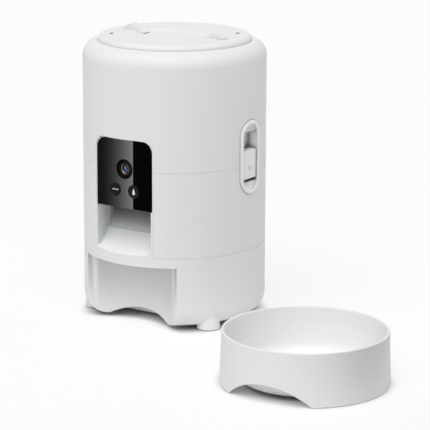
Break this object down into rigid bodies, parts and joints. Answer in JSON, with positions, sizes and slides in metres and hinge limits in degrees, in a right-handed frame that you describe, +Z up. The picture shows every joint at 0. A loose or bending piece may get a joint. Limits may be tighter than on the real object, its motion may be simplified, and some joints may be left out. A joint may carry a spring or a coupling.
{
  "type": "automatic pet feeder with camera",
  "caption": "Round dry-food feeder for pets: hopper with rotor and lid on a motor base, camera panel over the food outlet, side latches and a separate bowl.",
  "frame": {"origin": "on the floor, in the plane of the foot pads, in the middle of the ground that feeder and bowl take up together", "axes": "+Z up; -Y towards the front with camera and food outlet; +X towards the side where the bowl stands"},
  "size_m": [0.4268, 0.3102, 0.2997],
  "materials": {
    "white_abs": "fine satin moulded surface",
    "inner_white_abs": "smooth satin",
    "black_gloss": "polished",
    "black_satin": "satin",
    "grey_abs": "satin",
    "gear_pom": "smooth",
    "white_silicone": "soft matt",
    "grey_rubber": "matt",
    "lens_glass": "coated",
    "circuit_board": "solder resist",
    "steel": "plain",
    "motor_can": "zinc plated",
    "bronze_bush": "sintered",
    "sachet_paper": "non-woven"
  },
  "bodies": {
    "base_body": {"base_tub": "white_abs", "bottom_cover": "white_abs", "bottom_screws": "steel", "foot_pads": "grey_rubber", "mid_shell": "white_abs", "deck": "inner_white_abs", "chute": "inner_white_abs", "duct": "grey_abs", "camera_housing": "white_abs", "camera_panel": "black_gloss", "lens_ring": "black_satin", "lens_barrel": "black_satin", "lens_glass": "lens_glass", "camera_board": "circuit_board", "latch_frame_right": "white_abs", "latch_frame_left": "white_abs", "latch_spring_right": "steel", "latch_spring_left": "steel", "motor_plate": "inner_white_abs", "gear_motor": "motor_can", "shaft_bushes": "bronze_bush", "main_board": "circuit_board", "power_inlet": "black_satin", "speaker": "black_satin"},
    "hopper_body": {"hopper_shell": "white_abs", "hopper_funnel": "inner_white_abs", "outlet_shield": "inner_white_abs"},
    "lid_body": {"lid_cover": "white_abs", "lid_plate": "inner_white_abs", "lid_seal": "white_silicone", "desiccant_box": "inner_white_abs", "desiccant_sachet": "sachet_paper", "lid_plugs": "white_silicone"},
    "lid_latch_right_body": {"lid_latch_right": "white_abs"},
    "lid_latch_left_body": {"lid_latch_left": "white_abs"},
    "latch_right_body": {"latch_button_right": "white_abs"},
    "latch_left_body": {"latch_button_left": "white_abs"},
    "set_button_body": {"set_button": "black_satin"},
    "feed_button_body": {"feed_button": "black_satin"},
    "drive_body": {"drive_gear": "gear_pom", "drive_shaft": "steel"},
    "pinion_body": {"motor_pinion": "gear_pom"},
    "rotor_body": {"rotor": "grey_abs", "rotor_tips": "white_silicone"},
    "bowl_body": {"bowl": "white_abs"}
  },
  "joints": [
    {"name": "hopper_lift", "type": "slide", "parent": "base_body", "child": "hopper_body", "axis": [0, 0, 1], "range_m": [0, 0.14]},
    {"name": "lid_lift", "type": "slide", "parent": "hopper_body", "child": "lid_body", "axis": [0, 0, 1], "range_m": [0, 0.06]},
    {"name": "lid_latch_right_press", "type": "slide", "parent": "lid_body", "child": "lid_latch_right_body", "axis": [-1, 0, 0], "range_m": [0, 0.004], "stiffness_N_per_m": 300, "springref_m": -0.001},
    {"name": "lid_latch_left_press", "type": "slide", "parent": "lid_body", "child": "lid_latch_left_body", "axis": [1, 0, 0], "range_m": [0, 0.004], "stiffness_N_per_m": 300, "springref_m": -0.001},
    {"name": "latch_right_slide", "type": "slide", "parent": "base_body", "child": "latch_right_body", "axis": [0, 0, -1], "range_m": [0, 0.003], "stiffness_N_per_m": 400, "springref_m": -0.002, "deforming": ["latch_spring_right"]},
    {"name": "latch_left_slide", "type": "slide", "parent": "base_body", "child": "latch_left_body", "axis": [0, 0, -1], "range_m": [0, 0.003], "stiffness_N_per_m": 400, "springref_m": -0.002, "deforming": ["latch_spring_left"]},
    {"name": "set_press", "type": "slide", "parent": "base_body", "child": "set_button_body", "axis": [0, 1, 0], "range_m": [0, 0.0008], "stiffness_N_per_m": 800, "springref_m": -0.0003},
    {"name": "feed_press", "type": "slide", "parent": "base_body", "child": "feed_button_body", "axis": [0, 1, 0], "range_m": [0, 0.0008], "stiffness_N_per_m": 800, "springref_m": -0.0003},
    {"name": "drive_spin", "type": "hinge", "parent": "base_body", "child": "drive_body", "pos_m": [-0.1164, 0.0604, 0.15], "axis": [0, 0, 1], "continuous": true},
    {"name": "pinion_spin", "type": "hinge", "parent": "base_body", "child": "pinion_body", "pos_m": [-0.1164, 0.0904, 0.15], "axis": [0, 0, 1], "continuous": true},
    {"name": "rotor_spin", "type": "hinge", "parent": "hopper_body", "child": "rotor_body", "pos_m": [-0.1164, 0.0604, 0.175], "axis": [0, 0, 1], "continuous": true},
    {"name": "bowl_lift", "type": "slide", "parent": "base_body", "child": "bowl_body", "axis": [0, 0, 1], "range_m": [0, 0.1]}
  ],
  "couplings": [
    {"joint": "pinion_spin", "follows": "drive_spin", "ratio": -2.75},
    {"joint": "rotor_spin", "follows": "drive_spin", "ratio": 1}
  ]
}
